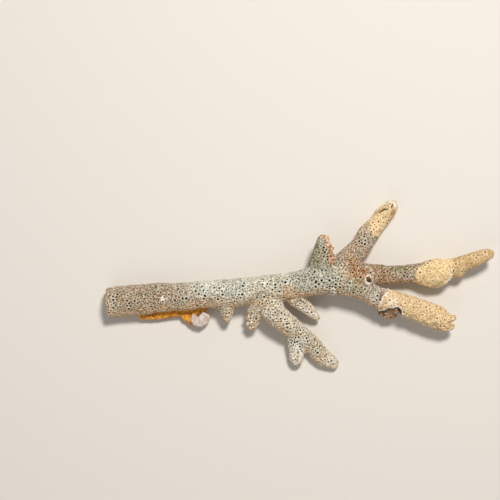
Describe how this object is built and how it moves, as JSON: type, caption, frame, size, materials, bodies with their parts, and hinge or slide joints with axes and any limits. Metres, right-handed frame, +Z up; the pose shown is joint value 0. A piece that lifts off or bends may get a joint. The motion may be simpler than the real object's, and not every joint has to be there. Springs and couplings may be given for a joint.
{
  "type": "branching coral fragment",
  "caption": "Loose dead branch of staghorn-like coral, lying on its side: a pored stem that forks into a crown of branches, with a broken stub and tapered fingers.",
  "frame": {"origin": "on the supporting surface, under the middle of the coral's bounding box", "axes": "+X along the coral from the stem's broken root end to the branch tips, +Y across it towards the upper branch, +Z up from the surface it lies on"},
  "size_m": [0.2456, 0.1078, 0.0267],
  "materials": {
    "skeleton": "matte, chalky, pitted all over with corallite pores",
    "overgrown_skeleton": "matte, chalky, cream-yellow layer grown over the pored skeleton",
    "orange_crust": "matte, grainy encrusting growth",
    "shell_flake": "smooth, faintly glossy shell"
  },
  "bodies": {
    "root": {"stem": "skeleton", "crown": "skeleton", "lower_branch": "skeleton", "lower_left_finger": "skeleton", "lower_right_finger": "skeleton", "inner_finger": "skeleton", "broken_branch": "skeleton", "upper_branch": "skeleton", "rear_branch": "overgrown_skeleton", "right_branch": "overgrown_skeleton", "orange_crust": "orange_crust", "shell_flake": "shell_flake"}
  },
  "joints": []
}
